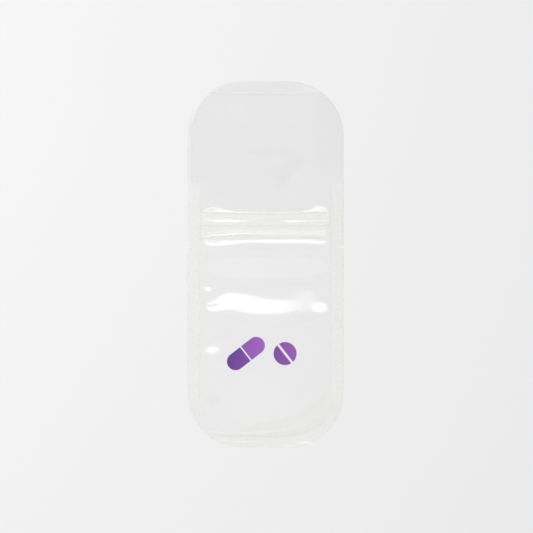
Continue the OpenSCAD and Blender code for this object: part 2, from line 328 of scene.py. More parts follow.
def baseHeight(xx, yy):
    # height of the film's upper face without its glints: it leaves the bottom weld, swells
    # over the chamber, lies flat, and goes up and down over the zip
    u = np.clip(np.abs(xx) / (innerX + 0.1), 0, 1)
    end = curve(xx, chamberEnd)
    leave = smooth((yy - end) / 9)
    shift = (film["crown"][0][0] - end) * smooth((-40 - yy) / 18)
    ends = smooth((innerX + 0.1 - np.abs(xx)) / 1.7)
    flat = weldZ + (restZ + filmT - weldZ) * leave
    crown = curve(yy + shift, film["crown"]) * (1 - u ** film["sidePower"])
    return flat + crown + (zipZ - restZ) * curve(yy, film["overZip"]) * (0.35 + 0.65 * ends)


def bankField():
    # each glint turns the film's slope along Y to its own inside its mask; the height that
    # it gains is given back evenly over its reach, and the sum along Y is the height
    gx = np.arange(-23.2, 23.21, film["gridX"])
    gy = np.arange(-60.0, foldY + 0.11, film["gridY"])
    xx, yy = np.meshgrid(gx, gy)
    base = np.gradient(baseHeight(xx, yy), film["gridY"], axis=0)
    slope = base.copy()
    for glint in glints:
        mask = shapeMask(xx, yy, glint)
        turn = (glint["slope"] * film["bankSlope"] - slope) * mask
        weight = mask.sum(0)
        middle = (mask * yy).sum(0) / np.maximum(weight, 1e-6)
        near = bell((yy - middle) / glint["reach"]) * (1 - mask)
        share = np.where(weight > 1e-3, turn.sum(0) / np.maximum(near.sum(0), 1e-6), 0)
        slope = slope + turn - near * share
    return gx, gy, np.cumsum(slope - base, 0) * film["gridY"]


bankX, bankY, bankZ = bankField()


def onField(xx, yy):
    # the banks' height at any place, from the four grid points round it
    u = np.clip((xx - bankX[0]) / film["gridX"], 0, len(bankX) - 1.001)
    v = np.clip((yy - bankY[0]) / film["gridY"], 0, len(bankY) - 1.001)
    i, j = u.astype(int), v.astype(int)
    a, b = u - i, v - j
    return (
        bankZ[j, i] * (1 - a) * (1 - b) + bankZ[j, i + 1] * a * (1 - b)
        + bankZ[j + 1, i] * (1 - a) * b + bankZ[j + 1, i + 1] * a * b
    )


def frontHeight(xx, yy):
    # height of the front film's upper face, in mm; it comes down to the weld at its sides
    atSide = smooth((np.abs(xx) - innerX + 0.9) / 1.0) * smooth((weldTopY + 1 - yy) / 2)
    z = baseHeight(xx, yy) + onField(xx, yy) * smooth((innerX + 0.2 - np.abs(xx)) / 0.8)
    return z * (1 - atSide) + weldZ * atSide


def followMouth(obj):
    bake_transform(obj)


print("front film's shape worked out, highest point", round(float(bankZ.max()), 2))


def nodeTools(name):
    mat = bpy.data.materials.new(name)
    mat.use_nodes = True
    tree = mat.node_tree
    tree.nodes.clear()

    def add(kind, **values):
        n = tree.nodes.new(kind)
        for key, value in values.items():
            if hasattr(n, key):
                setattr(n, key, value)
            else:
                n.inputs[key.replace("_", " ")].default_value = value
        return n

    def link(a, b):
        tree.links.new(a, b)

    return mat, add, link


def filmMaterial(name, look):
    # clear plastic: most light goes through it, tinted by the attribute warm, by a faint haze and
    # by the attribute shade, which carries painted shade besides the film's own tones; the frost
    # attribute, which also carries painted light, scatters a share of the light as white, and a
    # thin mirror that grows where the film is seen edge on shows the lamps
    mat, add, link = nodeTools(name)

    def maths(kind, a, b):
        n = add("ShaderNodeMath", operation=kind)
        for socket, value in zip(n.inputs, (a, b)):
            if isinstance(value, float):
                socket.default_value = value
            else:
                link(value, socket)
        return n.outputs[0]

    place = add("ShaderNodeTexCoord").outputs["Object"]
    haze = add("ShaderNodeTexNoise", Scale=look["hazeScale"], Detail=4.0)
    link(place, haze.inputs["Vector"])
    speck = add("ShaderNodeTexNoise", Scale=look["speckScale"], Detail=2.0)
    link(place, speck.inputs["Vector"])
    edge = add("ShaderNodeLayerWeight", Blend=0.5)
    edgeOn = maths("POWER", edge.outputs["Facing"], 4.0)
    shade = add("ShaderNodeAttribute", attribute_name="shade").outputs["Fac"]
    warm = add("ShaderNodeAttribute", attribute_name="warm").outputs["Fac"]
    frostAndPaintedLight = add("ShaderNodeAttribute", attribute_name="frostAndPaintedLight").outputs["Fac"]

    lost = maths("MULTIPLY", haze.outputs["Fac"], look["haze"])
    lost = maths("ADD", lost, shade)
    lost = maths("ADD", lost, maths("MULTIPLY", edgeOn, look["edgeDark"]))
    kept = maths("SUBTRACT", 1.0, lost)
    warmth = maths("MULTIPLY", warm, maths("MULTIPLY", speck.outputs["Fac"], 2.0))
    tint = add("ShaderNodeMix", data_type="RGBA")
    tint.inputs["A"].default_value = (*look["clear"], 1)
    tint.inputs["B"].default_value = (*look["warm"], 1)
    link(warmth, tint.inputs["Factor"])
    grey = add("ShaderNodeCombineColor")
    for socket in ("Red", "Green", "Blue"):
        link(kept, grey.inputs[socket])
    colour = add("ShaderNodeMix", data_type="RGBA", blend_type="MULTIPLY")
    colour.inputs["Factor"].default_value = 1.0
    link(tint.outputs["Result"], colour.inputs["A"])
    link(grey.outputs[0], colour.inputs["B"])
    through = add("ShaderNodeBsdfTransparent")
    link(colour.outputs["Result"], through.inputs["Color"])

    white = add("ShaderNodeBsdfDiffuse", Color=(*look["white"], 1))
    grain = add("ShaderNodeMapRange", From_Min=0.35, From_Max=0.65)
    grain.inputs["To Min"].default_value = 1 - look["grain"]
    grain.inputs["To Max"].default_value = 1 + look["grain"]
    link(speck.outputs["Fac"], grain.inputs["Value"])
    scatter = maths("MULTIPLY", frostAndPaintedLight, grain.outputs["Result"])
    scatter = maths("MINIMUM", maths("ADD", scatter, look["frostAndPaintedLight"]), 1.0)
    body = add("ShaderNodeMixShader")
    link(scatter, body.inputs["Fac"])
    link(through.outputs[0], body.inputs[1])
    link(white.outputs[0], body.inputs[2])

    gloss = add("ShaderNodeMapRange", To_Min=look["mirror"], To_Max=0.9)
    link(edgeOn, gloss.inputs["Value"])
    ripple = add("ShaderNodeTexNoise", Scale=look["rippleScale"], Detail=3.0)
    link(place, ripple.inputs["Vector"])
    bump = add("ShaderNodeBump", Strength=look["ripple"], Distance=0.0002)
    link(ripple.outputs["Fac"], bump.inputs["Height"])
    mirror = add("ShaderNodeBsdfAnisotropic", Color=(1, 1, 1, 1), Roughness=look["roughness"])
    link(bump.outputs["Normal"], mirror.inputs["Normal"])
    mix = add("ShaderNodeMixShader")
    link(gloss.outputs["Result"], mix.inputs["Fac"])
    link(body.outputs[0], mix.inputs[1])
    link(mirror.outputs[0], mix.inputs[2])
    out = add("ShaderNodeOutputMaterial")
    link(mix.outputs[0], out.inputs["Surface"])
    return mat


filmLook = {
    "clear": (0.9869, 0.9869, 0.9868), "warm": (0.989, 0.9875, 0.979),
    "white": (0.95, 0.95, 0.945), "mirror": 0.036, "edgeDark": 0.16, "haze": 0.004,
    "hazeScale": 60.0, "frostAndPaintedLight": 0.0, "speckScale": 1600.0, "grain": 0.1, "ripple": 0.03,
    "rippleScale": 260.0, "roughness": 0.2,
}
weldLook = {
    **filmLook, "clear": (0.994, 0.994, 0.9925), "warm": (0.997, 0.994, 0.972), "mirror": 0.04,
    "haze": 0.004, "hazeScale": 900.0, "frostAndPaintedLight": 0.01, "speckScale": 1500.0,
    "grain": 0.5, "ripple": 0.12, "rippleScale": 1500.0, "roughness": 0.22,
}
zipLook = {
    **filmLook, "clear": (1.0, 1.0, 0.9998), "warm": (1.0, 0.9995, 0.9965), "mirror": 0.03,
    "haze": 0.002, "hazeScale": 700.0, "speckScale": 1900.0, "grain": 1.0, "ripple": 0.08,
    "rippleScale": 900.0, "roughness": 0.16,
}
clearFilm = filmMaterial("clearFilm", filmLook)
weldFilm = filmMaterial("knurledWeld", weldLook)
zipPlastic = filmMaterial("zipPlastic", zipLook)


def inkMaterial(name, look):
    # printed ink: its colour runs from deep to pale along the print, with fine mottling
    mat, add, link = nodeTools(name)
    place = add("ShaderNodeTexCoord")
    body = add("ShaderNodeBsdfPrincipled", Roughness=look["roughness"])
    body.inputs["Specular IOR Level"].default_value = 0.4
    run = add("ShaderNodeAttribute", attribute_name="run")
    mottle = add("ShaderNodeTexNoise", Scale=1500.0)
    link(place.outputs["Object"], mottle.inputs["Vector"])
    amount = add("ShaderNodeMath", operation="MULTIPLY_ADD")
    amount.inputs[1].default_value = look["mottle"]
    link(mottle.outputs["Fac"], amount.inputs[0])
    link(run.outputs["Fac"], amount.inputs[2])
    ramp = add("ShaderNodeMix", data_type="RGBA")
    ramp.inputs["A"].default_value = (*look["deep"], 1)
    ramp.inputs["B"].default_value = (*look["pale"], 1)
    link(amount.outputs[0], ramp.inputs["Factor"])
    link(ramp.outputs["Result"], body.inputs["Base Color"])
    bump = add("ShaderNodeBump", Strength=0.1, Distance=0.00005)
    link(mottle.outputs["Fac"], bump.inputs["Height"])
    link(bump.outputs["Normal"], body.inputs["Normal"])
    out = add("ShaderNodeOutputMaterial")
    link(body.outputs[0], out.inputs["Surface"])
    return mat


ink = inkMaterial("purpleInk", {"deep": (0.09, 0.02, 0.22), "pale": (0.32, 0.10, 0.48),
                                "roughness": 0.45, "mottle": 0.15})
print("materials made")

back = {
    "notchBelowZip": 3.2, "notchWidth": 0.9, "notchDepth": 1.4,
    "lift": 0.02,              # how far the film waves up and down where it lies
    # painted shade along the cut edge on the right, and painted light along it on the left, in
    # levels
    "rimShade": 6.0, "rimPaintedLight": 18.0,
    "shades": [
        # the strip of back lip that stands past the front lip
        {"levels": 6.4, "soft": 0.3, "fade": (-20, -16, 10, 20),
         "upper": [(-20, 63.6), (20, 63.6)], "lower": [(-20, 59.5), (0, 58.6), (20, 59.4)]},
        # the line along the left edge of the front lip, and the brighter strip beside it
        {"levels": 4.5, "soft": 0.3, "half": 0.8, "fade": (26, 29, 50, 56),
         "down": [(26, -26.4), (56, -26.2)]},
    ],
}


def notched(half, y):
    # the film's edge with a rounded notch: the half width less the notch's depth
    middle = zipBottomY - back["notchBelowZip"]
    cut = np.maximum(1 - ((y - middle) / (back["notchWidth"] / 2)) ** 2, 0)
    return half - back["notchDepth"] * np.sqrt(cut)


def rimTone(xx, yy, left, right):
    # painted shade for the light lost at the cut edge, in levels on the left and on the right side;
    # used
    #  for frost, it paints a light line along the edge instead
    rim = bell(rimDistance(xx, yy) / rimWidth)
    return rim * (left + (right - left) * smooth(xx / 16 + 0.5)) * levelStep


def makeBackFilm():
    # s runs across from -1 to 1, y along: x = s times the half width at y, and the height
    # is the film's thickness plus a low wave, sin times sin
    s = np.linspace(-1, 1, 97)
    s = np.unique(np.round(np.concatenate([s, [-0.993, -0.985, 0.985, 0.993]]), 4))
    ends = endY - cornerR + cornerR * np.sin(np.linspace(0, np.pi / 2, 26))
    dent = np.sin(np.linspace(-np.pi / 2, np.pi / 2, 11)) * back["notchWidth"] / 2
    y = np.unique(np.round(np.concatenate([
        -ends, ends, np.arange(-44, 44.1, 1.0), endY - np.array([0.2, 0.4, 0.6]),
        -endY + np.array([0.2, 0.4, 0.6]), zipBottomY - back["notchBelowZip"] + dent]), 4))
    ss, yy = np.meshgrid(s, y)
    xx = ss * notched(outlineHalf(yy), yy)
    zz = filmT + back["lift"] * np.sin(xx / 9) * np.sin(yy / 13)
    faint = 1 - 0.6 * smooth((-35 - yy) / 15)
    # painted shade along the cut edge, stronger to the right and fainter toward the lower end, and
    # a painted light line along the left edge that fades out lower down
    shade = tone(xx, yy, back["shades"]) + rimTone(xx, yy, 0.0, back["rimShade"]) * faint
    frostAndPaintedLight = rimTone(xx, yy, back["rimPaintedLight"], -back["rimPaintedLight"])
    frostAndPaintedLight = np.maximum(frostAndPaintedLight, 0) * smooth((yy + 20) / 30)
    obj = slabMesh("backFilm", xx, yy, zz, filmT, {"shade": shade, "warm": 0 * xx, "frostAndPaintedLight": frostAndPaintedLight})
    coat(obj, clearFilm)
    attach(obj, "back")
    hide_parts("back_film")


makeBackFilm()

# tones of the front film and front lip, in levels: darker above 0, lighter below
lipShades = [
    {"levels": 3.3, "soft": 1.0, "fade": (-40, -39, 39, 40),
     "upper": [(-40, 90), (40, 90)], "lower": [(-40, 17.7), (40, 17.7)]},
    {"levels": 0.6, "soft": 1.8, "fade": (-19, -14, 14, 19),
     "upper": [(-19, 48.4), (0, 48.9), (19, 48.2)], "lower": [(-19, 46.6), (0, 46.9), (19, 46.4)]},
    {"levels": 1.4, "soft": 1.5, "fade": (-23, -14, 7, 14.5),
     "upper": [(-23, 38.0), (-14, 39.3), (0, 39.9), (10, 39.3), (15.5, 37.0)],
     "lower": [(-23, 37.0), (-14, 37.4), (0, 37.8), (8, 37.2), (15.5, 35.4)]},
    {"levels": 1.5, "soft": 0.9, "fade": (0.2, 2.6, 13.0, 15.2),
     "upper": [(0.2, 33.0), (4, 34.2), (8, 36.2), (15.5, 37.0)],
     "lower": [(0.2, 32.6), (2.2, 30.6), (4.2, 27.6), (5.4, 26.4), (6.6, 27.6), (10, 31.4),
               (15.5, 36.6)]},
    {"levels": -0.9, "soft": 1.0, "fade": (5.5, 8, 12.5, 15),
     "upper": [(5, 27), (9, 30), (15, 35.4)], "lower": [(5, 24), (9, 21), (15, 20)]},
    {"levels": 1.2, "soft": 5.0, "fade": (28, 38, 54, 64),
     "down": [(28, 23.5), (44, 22.6), (62, 22)], "half": 4.5},
    {"levels": 1.2, "soft": 3.0, "fade": (40, 44, 48, 53),
     "down": [(40, -24.2), (53, -23.2)], "half": 1.6},
    {"levels": -0.5, "soft": 3.0, "spot": (-8, 52, 11, 4)},
]

filmShades = lipShades + [
    # painted shade along the zip's top edge, and in the groove between the two tracks
    {"levels": 3.5, "soft": 0.3, "half": 0.22, "fade": (-20, -17, 16, 19),
     "along": [(-20, 17.65), (-4, 17.4), (3, 17.35), (10, 17.5), (14, 17.9), (19, 18.15)]},
    {"levels": 3.0, "soft": 0.4, "half": 0.3, "fade": (-4, 1, 5, 9),
     "along": [(-4, 17.3), (9, 17.35)]},
    {"levels": 5.0, "soft": 0.2, "half": 0.16, "fade": (-22.5, -21.5, 21.5, 22.5),
     "along": [(-22.5, 13.5), (22.5, 13.5)]},
    {"levels": 1.6, "soft": 0.3, "half": 0.4, "fade": (-22.5, -21.5, 21.5, 22.5),
     "along": [(-22.5, 13.05), (22.5, 13.05)]},
    # painted shade lines along its lower edge, and one that climbs away from its top edge on the
    # right
    {"levels": 4.0, "soft": 0.25, "half": 0.16, "fade": (-21.8, -20, -4, 2),
     "along": [(-21.5, 9.3), (-18, 9.5), (-14, 9.7), (-10, 10.1), (-6, 10.1), (2, 9.7)]},
    {"levels": 1.6, "soft": 0.4, "half": 0.45, "fade": (-2, 3, 19, 21),
     "along": [(-2, 9.5), (21, 9.45)]},
    {"levels": 3.0, "soft": 0.25, "half": 0.16, "fade": (9, 13, 20.5, 22.3),
     "along": [(9, 9.4), (20, 9.4), (22.3, 9.6)]},
    {"levels": 2.0, "soft": 0.25, "half": 0.14, "fade": (8, 9, 14, 16),
     "along": [(8, 17.2), (11, 18.8), (12.5, 20.5), (14.5, 21.9), (16, 22.6)]},
    # below it: painted shade lines, bands and spots, the lighter patch where the films touch, and a
    # broad
    #  lighter spot low on the chamber
    {"levels": 1.3, "soft": 1.2, "half": 0.5, "fade": (-19, -14, 18, 22),
     "along": [(-19, 5.4), (0, 5.6), (22, 5.4)]},
    {"levels": -2.1, "soft": 0.6, "fade": (-22.3, -20, 20, 22.4),
     "upper": [(-22.3, -0.4), (-20, 1.0), (-15, 2.1), (0, 2.3), (14.6, 2.25), (20, 1.1),
               (22.5, -0.4)],
     "lower": [(-22.3, -1.3), (-20, -2.4), (-15, -4.1), (-2.7, -5.0), (14.6, -4.1),
               (20, -2.6), (22.5, -1.5)]},
    {"levels": 1.0, "soft": 1.0, "fade": (-20, -12, 14, 20),
     "upper": [(-20, -6.2), (0, -6.3), (20, -6.0)], "lower": [(-20, -7.6), (0, -8.3), (20, -7.4)]},
    {"levels": 1.3, "soft": 0.8, "half": 0.35, "fade": (-22, -19, 18, 21.5),
     "along": [(-21.5, -17.1), (-11.6, -18.9), (0, -21), (9.8, -20.5), (20.5, -17.6)]},
    {"levels": 0.9, "soft": 1.0, "spot": (-15.3, -24.3, 3.0, 1.6)},
    {"levels": -0.7, "soft": 6.0, "spot": (-8, -46, 17, 9)},
    {"levels": 1.9, "soft": 0.5, "spot": (-18.2, -47.1, 2.7, 2.1)},
    {"levels": 2.0, "soft": 0.3, "half": 0.12, "fade": (-57, -54, -40, -30),
     "down": [(-57, -22.4), (-30, -22.6)]},
    {"levels": 1.2, "soft": 0.3, "half": 0.12, "fade": (-57, -54, -46, -40),
     "down": [(-57, -21.0), (-40, -21.4)]},
    # painted shade: a dark band, warm in tint, where the film bends down inside the bottom weld at
    # the
    #  right, a darker line along it, and a darker patch by the weld on the left
    {"levels": 1.5, "soft": 2.6, "fade": (-14, -6, 20, 22.7),
     "upper": [(-14, -56.6), (-6, -55.7), (0, -54.8), (6.7, -53.4), (12.5, -51.2), (17, -48.3),
               (20, -45), (22.8, -39)],
     "lower": [(-14, -60), (0, -60), (8, -60), (14, -58.6), (20, -55.5), (22.8, -50)]},
    {"levels": 1.5, "soft": 2.0, "half": 0.9, "fade": (-12, 0, 20, 22.7),
     "along": [(-8, -56.4), (0, -55.3), (6.7, -54.0), (12.5, -51.8), (17, -48.9), (20, -45.7),
               (22.8, -40)]},
    {"levels": 1.3, "soft": 0.8, "fade": (-21, -18, -14, -6),
     "upper": [(-21, -56.2), (-14, -57.3), (-6, -57.6)],
     "lower": [(-21, -60), (-6, -60)]},
]

# warm tints: first that of the painted shade band inside the bottom weld at the right, then the zip
# tracks' own yellowish tint
warmShapes = [
    {"levels": 1.1, "soft": 2.4, "fade": (-16, -4, 20, 22.7),
     "upper": [(-16, -56.0), (0, -54.2), (7, -52.9), (12, -50.7), (17, -47.7), (22.8, -39)],
     "lower": [(-16, -61), (0, -61), (20, -60), (22.8, -50)]},
    {"levels": 0.5, "soft": 0.8, "half": 1.0, "fade": (-22.5, -21, 20, 22),
     "along": [(-22, 16.4), (22, 16.4)]},
    {"levels": 0.5, "soft": 0.5, "half": 0.5, "fade": (-22.5, -21, 20, 22),
     "along": [(-22, 14.2), (22, 14.2)]},
    {"levels": 0.5, "soft": 0.8, "half": 1.2, "fade": (-22.5, -21, 20, 22),
     "along": [(-22, 11.3), (22, 11.3)]},
]

paintedLightStep = 0.02               # share of scattered light that looks one level lighter
paintedLightShapes = [
    # painted light on the zip's tracks, in levels: lighter bands along them
    {"levels": 4.0, "soft": 0.5, "half": 0.6, "fade": (-22.3, -21, 21, 22.3),
     "along": [(-22, 16.6), (22, 16.6)]},
    {"levels": 2.5, "soft": 0.5, "fade": (-22.3, -21, 21, 22.3),
     "upper": [(-22, 16.2), (22, 16.2)], "lower": [(-22, 12.5), (22, 12.5)]},
    {"levels": 2.0, "soft": 0.4, "half": 0.3, "fade": (-22.3, -21, 21, 22.3),
     "along": [(-22, 14.35), (22, 14.35)]},
    {"levels": 3.5, "soft": 0.5, "fade": (-22.3, -21, 21, 22.3),
     "upper": [(-22, 12.5), (22, 12.5)], "lower": [(-22, 9.8), (-10, 10.3), (0, 9.9), (22, 9.8)]},
    {"levels": 1.5, "soft": 0.8, "half": 0.7, "fade": (-21, -15, 20, 22),
     "along": [(-22, 11.0), (22, 11.1)]},
    # painted light: thin light lines at the ends of the tracks and along the left weld's inner
    # edge, a light
    #  line along the chamber's lower edge, and a soft light spot below the zip on the left
    {"levels": 7.0, "soft": 0.25, "half": 0.15, "fade": (9.5, 10.0, 12.3, 12.8),
     "down": [(9.5, -21.75), (12.8, -21.75)]},
    {"levels": 7.0, "soft": 0.25, "half": 0.15, "fade": (13.7, 14.2, 15.8, 16.3),
     "down": [(13.7, -21.75), (16.3, -21.75)]},
    {"levels": 7.0, "soft": 0.25, "half": 0.15, "fade": (13.7, 14.2, 15.8, 16.3),
     "down": [(13.7, 22.2), (16.3, 22.2)]},
    {"levels": 5.0, "soft": 0.25, "half": 0.14, "fade": (17, 20, 25, 27.6),
     "down": [(17, -22.7), (27.6, -22.75)]},
    {"levels": 6.0, "soft": 0.6, "half": 0.4, "fade": (-21.5, -18, 10, 18),
     "along": [(-21, -57.6), (-12, -58.3), (-2, -58.0), (6.7, -57.1), (12, -55.7), (18, -52.6)]},
    {"levels": 2.0, "soft": 2.0, "spot": (-17, 6.2, 4.0, 1.4)},
]


def frontEnd(xx, yy):
    # 1 where the front film meets the bottom weld
    return bell((yy - curve(xx, chamberEnd)) / 0.4) * (np.abs(xx) < innerX + 0.3)


def makeFrontFilm():
    # columns at the same x below the welds' tops, widened to the pouch's edges above them;
    # the lowest rows bend to follow the bottom weld
    s = np.linspace(-1, 1, 133)
    fine = np.array([0.975, 0.988, 0.995])
    s = np.unique(np.round(np.concatenate([s, fine, -fine]), 4))
    bottom = min(k[1] for k in chamberEnd) - 0.1
    row = spread((bottom, bottom + 2.0, 0.2), (bottom + 2.0, -32, 0.9), (-32, -27, 0.5),
                 (-27, -19, 0.8), (-19, -7, 0.25), (-7, 5.6, 0.7), (5.6, 20.6, 0.13),
                 (20.6, 24, 0.4), (24, weldTopY, 0.75), (weldTopY + 0.02, foldY, 0.75))
    ss, rr = np.meshgrid(s, row)
    wide = (rr > weldTopY + 0.01) * 1.0     # the film spans the pouch above the welds' tops
    side = innerX + film["lap"]
    left = side * (1 - wide) + (halfW - lipInset) * wide
    right = side * (1 - wide) + halfW * wide
    xx = np.where(ss < 0, ss * left, ss * right)
    yy = rr + (curve(xx, chamberEnd) - bottom) * smooth((-40 - rr) / (-40 - bottom))
    # painted shade lines at the chamber's lower end and along the left edge above the welds
    shade = tone(xx, yy, filmShades) + film["endShade"] * frontEnd(xx, yy)
    shade = shade + film["leftShade"] * bell((ss * left + left) / 0.3) * wide * (ss < 0)
    obj = slabMesh("frontFilm", xx, yy, frontHeight(xx, yy), filmT, {
        "shade": shade, "warm": tone(xx, yy, warmShapes, 1.0),
        "frostAndPaintedLight": tone(xx, yy, paintedLightShapes, paintedLightStep)})
    coat(obj, clearFilm)
    followMouth(obj)
    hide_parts("front_film")


makeFrontFilm()
print("films made")


lip = {
    "past": 0.1, "sag": 0.8,   # where its end lies past the solid's, and how far it sags
    "curl": 0.12,              # how far its end lifts in the middle
    # painted shade lines along its end, its left edge and its cut rim
    "endShade": 0.025, "leftShade": 0.02, "rimShade": 2.0,
}


def makeFrontLip():
    # rows run from the fold line to an end that sags in the middle, 1 - s squared; the
    # height rises with the row and falls off to the sides as a bell
    s = np.unique(np.round(np.concatenate([np.linspace(-1, 1, 101), [-0.993, 0.993]]), 4))
    v = np.linspace(0, 1, 66)
    v = np.unique(np.round(np.concatenate([v, [0.99, 0.995]]), 4))
    ss, vv = np.meshgrid(s, v)
    lipEnd = lipHigh[1] + lip["past"] - lip["sag"] * (1 - ss**2)
    yy = foldY + (lipEnd - foldY) * vv
    half = outlineHalf(np.minimum(yy, endY - 0.01)) - 0.05
    left = half - (lipInset - 0.05) * smooth((64 - yy) / 12)
    xx = np.where(ss < 0, ss * left, ss * half)
    zz = restZ + filmT + lip["curl"] * vv * bell(ss / 0.7)
    # painted shade lines along its end, its left edge and its cut rim
    shade = tone(xx, yy, lipShades) + lip["endShade"] * bell((lipEnd - yy) / 0.22)
    shade = shade + lip["leftShade"] * bell((ss * left + left) / 0.3)
    shade = shade + rimTone(xx, yy, 0.0, lip["rimShade"])
    obj = slabMesh("frontLip", xx, yy, zz, filmT, {"shade": shade, "warm": 0 * xx, "frostAndPaintedLight": 0 * xx})
    coat(obj, clearFilm)
    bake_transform(obj)
    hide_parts("front_lip")


makeFrontLip()

# side welds: the two films melted together under a diamond knurl
weld = {
    "pitch": 0.85, "depth": 0.08, "step": 0.14, "columns": 34, "knurlFrom": -53.0,
    # painted shade in the knurl's valleys and painted light on its ridges; a painted shade line at
    # the left seam and a painted light line at the right one
    "valleyShade": 0.055, "ridgePaintedLight": 0.13, "seamShade": 0.004, "seamPaintedLight": 0.04,
    "left": [
        {"levels": 2.0, "soft": 2.0, "fade": (-70, -69, 69, 70),
         "upper": [(-70, 90), (70, 90)], "lower": [(-70, -90), (70, -90)]},
        {"levels": -0.4, "soft": 1.5, "half": 1.2, "fade": (-50, -46, -40, -35),
         "down": [(-50, -24.6), (-35, -24.6)]},
    ],
    # the right weld: darker all over and more so from the middle up, with a painted shade line near
    # its outer edge
    "right": [
        {"levels": 2.4, "soft": 2.0, "fade": (-70, -69, 69, 70),
         "upper": [(-70, 90), (70, 90)], "lower": [(-70, -90), (70, -90)]},
        {"levels": 6.0, "soft": 0.3, "half": 0.18, "fade": (4, 7, 15, 19),
         "down": [(4, 26.6), (19, 26.6)]},
        {"levels": 1.6, "soft": 1.0, "half": 3.0, "fade": (-12, 2, 26, 28),
         "down": [(-12, 25.0), (28, 25.0)]},
    ],
    "warm": {-1: 0.30, 1: 0.26},
}


def knurl(xx, yy, pitch):
    # two sets of ridges that cross at an angle, each |sin|, multiplied
    a = (xx * 0.80 + yy * 0.60) / pitch * np.pi
    b = (xx * 0.80 - yy * 0.60) / pitch * np.pi
    return np.abs(np.sin(a)) * np.abs(np.sin(b))


def makeSideWeld(name, side, node):
    # across from the inner edge to the pouch's edge, along with the knurl on its top; the
    # strip runs straight down until the round corner cuts it off
    top = boxMm(node)[1][1]
    foot = outlineEnd(innerX) + 0.05
    rows = np.append(np.arange(foot, top, weld["step"]), top)
    uu, yy = np.meshgrid(np.linspace(0, 1, weld["columns"]), rows)
    outer = notched(outlineHalf(yy), yy) - 0.03
    inner = np.minimum(innerX + 0 * yy, outer - 0.05)
    xx = side * (inner + (outer - inner) * uu)
    rim = smooth(uu / 0.06) * smooth((1 - uu) / 0.05) * smooth((yy - weld["knurlFrom"]) / 6)
    relief = knurl(xx, yy, weld["pitch"]) * rim
    zz = weldZ + weld["depth"] * (relief - 0.5)
    shade = tone(xx, yy, weld["left" if side < 0 else "right"])
    # painted shade in the knurl's valleys, painted light on its ridges, and painted lines along the
    # seams
    shade = shade + weld["valleyShade"] * (0.5 - relief) * rim
    shade = shade + weld["seamShade"] * bell((xx - side * innerX) / 0.25) * (side < 0)
    seam = weld["seamPaintedLight"] * bell((xx - side * (innerX + 0.9)) / 0.22) * (side > 0)
    frostAndPaintedLight = weld["ridgePaintedLight"] * relief + seam
    warm = weld["warm"][side] * (0.8 + 0.2 * np.sin(yy / 7.3 + side))
    if side < 0:
        xx, yy, zz = xx[:, ::-1], yy[:, ::-1], zz[:, ::-1]
        shade, frostAndPaintedLight, warm = shade[:, ::-1], frostAndPaintedLight[:, ::-1], warm[:, ::-1]
    obj = slabMesh(name, xx, yy, zz, filmT, {"shade": shade, "warm": warm, "frostAndPaintedLight": frostAndPaintedLight})
    coat(obj, weldFilm)
    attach(obj, "back")
    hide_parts(node)


makeSideWeld("leftWeld", -1, "left_side_weld")
makeSideWeld("rightWeld", 1, "right_side_weld")

# bottom weld: a clear band with a few creases that catch the light
bottom = {
    "creaseSlope": 0.355, "frostAndPaintedLight": 0.03, "rimShade": 2.0, "warm": 0.2, "warmShade": 0.006,
    "creases": [
        {"wide": 0.27, "fade": (-12, -8.5, -6, 0), "along": [(-12, -61.1), (0, -61.1)]},
        {"wide": 0.2, "fade": (-18, -16, -14, -11), "along": [(-18, -60.6), (-11, -60.95)]},
        {"wide": 0.38, "fade": (9.5, 12.5, 15.0, 16.4), "along": [(9.5, -61.7), (16.4, -61.5)]},
        {"wide": 0.24, "fade": (3.5, 6, 9, 12.0), "along": [(3.5, -62.6), (12, -62.75)]},
    ],
    "warms": [
        {"levels": 0.3, "soft": 0.8, "fade": (-21, -18, -6, 2),
         "upper": [(-21, -58.4), (-12, -59.4), (2, -60.0)],
         "lower": [(-21, -60.4), (-12, -61.0), (2, -61.0)]},
    ],
    # painted shade: darker on the left half, thin dark lines by a crease and along the chamber's
    # edge, and a darker patch at the right
    "shades": [
        {"levels": 2.0, "soft": 4.0, "fade": (-30, -29, 2, 10),
         "upper": [(-30, -40), (30, -40)], "lower": [(-30, -70), (30, -70)]},
        {"levels": 3.0, "soft": 0.3, "half": 0.16, "fade": (-9, -7.5, -1, 1),
         "along": [(-9, -60.5), (1, -60.6)]},
        {"levels": 5.0, "soft": 0.5, "half": 0.45, "fade": (-21, -18, 13, 17.5),
         "along": [(-21, -58.4), (-13.4, -59.2), (-2, -59.4), (6.7, -59.3), (12.5, -58.5),
                   (17.5, -56.4)]},
        {"levels": 1.4, "soft": 1.0, "fade": (12, 16, 22, 24),
         "upper": [(12, -56), (24, -50)], "lower": [(12, -60.5), (24, -57)]},
    ],
}


